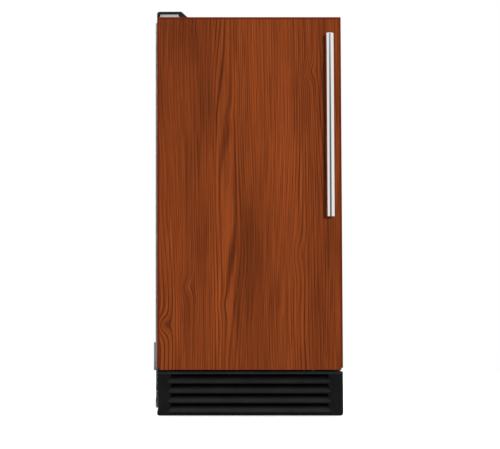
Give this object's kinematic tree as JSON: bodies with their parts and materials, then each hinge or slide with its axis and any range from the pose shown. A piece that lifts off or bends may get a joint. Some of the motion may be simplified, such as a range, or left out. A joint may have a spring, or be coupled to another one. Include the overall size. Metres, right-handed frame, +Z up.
{
  "type": "ice maker",
  "caption": "Undercounter clear-ice maker with a hinged wood overlay door, bar handle, louvred toe grille, ice bin, freezing plate, cutter grid and machinery.",
  "frame": {"origin": "on the floor under the middle of the machine, handle included", "axes": "+Z up, the door faces -Y, +X is the viewer's right when facing the door"},
  "size_m": [0.3845, 0.632, 0.826],
  "materials": {
    "cabinet_steel": "satin",
    "galvanized": "satin",
    "foam": "matte",
    "white_liner": "satin",
    "black_plastic": "satin",
    "leg_steel": "satin",
    "hinge_steel": "satin",
    "stainless": "satin",
    "copper": "satin",
    "white_plastic": "satin",
    "clear_plastic": "gloss",
    "control_rubber": "matte",
    "aluminium": "satin",
    "compressor_paint": "satin",
    "hose_rubber": "matte",
    "gasket_rubber": "matte",
    "wood": "satin",
    "handle_steel": "polished"
  },
  "bodies": {
    "cabinet": {"side_panel_left": "cabinet_steel", "side_panel_right": "cabinet_steel", "top_panel": "cabinet_steel", "rear_panel": "galvanized", "service_panel": "galvanized", "base_pan": "galvanized", "machine_deck": "galvanized", "cabinet_insulation": "foam", "bin_liner": "white_liner", "front_frame": "white_liner", "toe_grille": "black_plastic", "hinge_bracket_top": "hinge_steel", "hinge_pin_top": "hinge_steel", "hinge_cover": "black_plastic", "hinge_bracket_bottom": "hinge_steel", "hinge_pin_bottom": "hinge_steel", "evaporator_plate": "stainless", "evaporator_coil": "copper", "cutter_grid": "white_plastic", "grid_cover": "black_plastic", "module_frame": "stainless", "water_reservoir": "white_plastic", "circulation_pump": "black_plastic", "pump_hose": "clear_plastic", "water_distributor": "white_plastic", "control_housing": "black_plastic", "light_lens": "clear_plastic", "bin_sensor": "stainless", "scoop_hook": "white_plastic", "condenser": "aluminium", "fan_shroud": "black_plastic", "fan_motor": "galvanized", "compressor": "compressor_paint", "compressor_cover": "black_plastic", "discharge_line": "copper", "liquid_line": "copper", "filter_drier": "copper", "suction_line": "copper", "water_valve": "white_plastic", "water_line": "clear_plastic", "drain_line": "hose_rubber", "cord_gland": "hose_rubber"},
    "door": {"door_pan": "cabinet_steel", "door_insulation": "foam", "door_liner": "white_liner", "door_gasket": "gasket_rubber", "door_bushing_bottom": "white_plastic", "door_bushing_top": "white_plastic", "wood_panel": "wood", "handle_bar": "handle_steel", "handle_post_lower": "handle_steel", "handle_post_upper": "handle_steel"},
    "fan": {"fan_blade": "black_plastic"},
    "scoop": {"ice_scoop": "clear_plastic"},
    "rocker": {"power_rocker": "control_rubber"},
    "button": {"clean_button": "control_rubber"},
    "leg_front_left": {"leg_front_left": "leg_steel"},
    "leg_front_right": {"leg_front_right": "leg_steel"},
    "leg_rear_left": {"leg_rear_left": "leg_steel"},
    "leg_rear_right": {"leg_rear_right": "leg_steel"}
  },
  "joints": [
    {"name": "door_hinge", "type": "hinge", "parent": "cabinet", "child": "door", "pos_m": [-0.175, -0.246, 0.45], "axis": [0, 0, -1], "range_deg": [0, 110]},
    {"name": "fan_spin", "type": "hinge", "parent": "cabinet", "child": "fan", "pos_m": [-0.06, -0.134, 0.112], "axis": [0, -1, 0], "continuous": true},
    {"name": "scoop_unhook", "type": "slide", "parent": "cabinet", "child": "scoop", "axis": [-1, 0, 0], "range_m": [0, 0.06]},
    {"name": "power_rocker_tilt", "type": "hinge", "parent": "cabinet", "child": "rocker", "pos_m": [-0.044, -0.19, 0.75], "axis": [1, 0, 0], "range_deg": [-7, 7]},
    {"name": "clean_button_press", "type": "slide", "parent": "cabinet", "child": "button", "axis": [0, 1, 0], "range_m": [0, 0.003], "stiffness_N_per_m": 300, "springref_m": -0.002},
    {"name": "leg_front_left_level", "type": "slide", "parent": "cabinet", "child": "leg_front_left", "axis": [0, 0, -1], "range_m": [0, 0.025]},
    {"name": "leg_front_right_level", "type": "slide", "parent": "cabinet", "child": "leg_front_right", "axis": [0, 0, -1], "range_m": [0, 0.025]},
    {"name": "leg_rear_left_level", "type": "slide", "parent": "cabinet", "child": "leg_rear_left", "axis": [0, 0, -1], "range_m": [0, 0.025]},
    {"name": "leg_rear_right_level", "type": "slide", "parent": "cabinet", "child": "leg_rear_right", "axis": [0, 0, -1], "range_m": [0, 0.025]}
  ]
}
